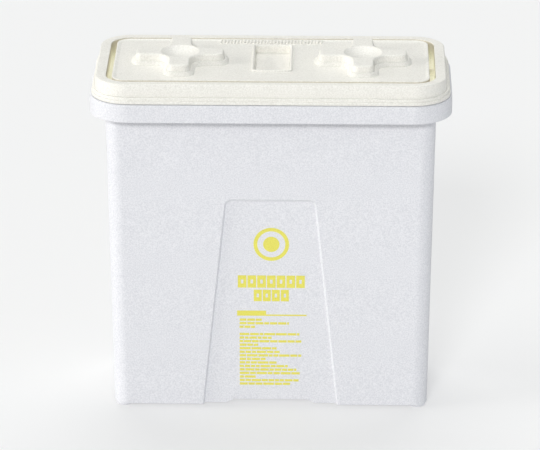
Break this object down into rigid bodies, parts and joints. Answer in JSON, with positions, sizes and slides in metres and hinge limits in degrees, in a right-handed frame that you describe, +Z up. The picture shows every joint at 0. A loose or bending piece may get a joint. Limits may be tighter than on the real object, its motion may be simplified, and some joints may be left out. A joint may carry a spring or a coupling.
{
  "type": "medical waste pail",
  "caption": "Narrow rectangular plastic waste pail with a hanging rim, sunk label panel, corner feet and a press-fit lid with clover-shaped raised bosses.",
  "frame": {"origin": "on the floor under the middle of the pail, at the level of the feet", "axes": "+Z up, +X to the right as seen from the front, -Y towards the front with the printed panel"},
  "size_m": [0.415, 0.193, 0.4175],
  "materials": {
    "pail_plastic": "cool white polypropylene with a fine sandblasted grain",
    "lid_plastic": "warm ivory polypropylene with a fine satin grain",
    "seal_foam": "soft grey foam rubber",
    "print_ink": "thin yellow screen print"
  },
  "bodies": {
    "pail": {"pail_body": "pail_plastic"},
    "lid": {"lid_cover": "lid_plastic", "lid_seal": "seal_foam"}
  },
  "joints": [
    {"name": "lid_lift", "type": "slide", "parent": "pail", "child": "lid", "axis": [0, 0, 1], "range_m": [0, 0.2]}
  ]
}
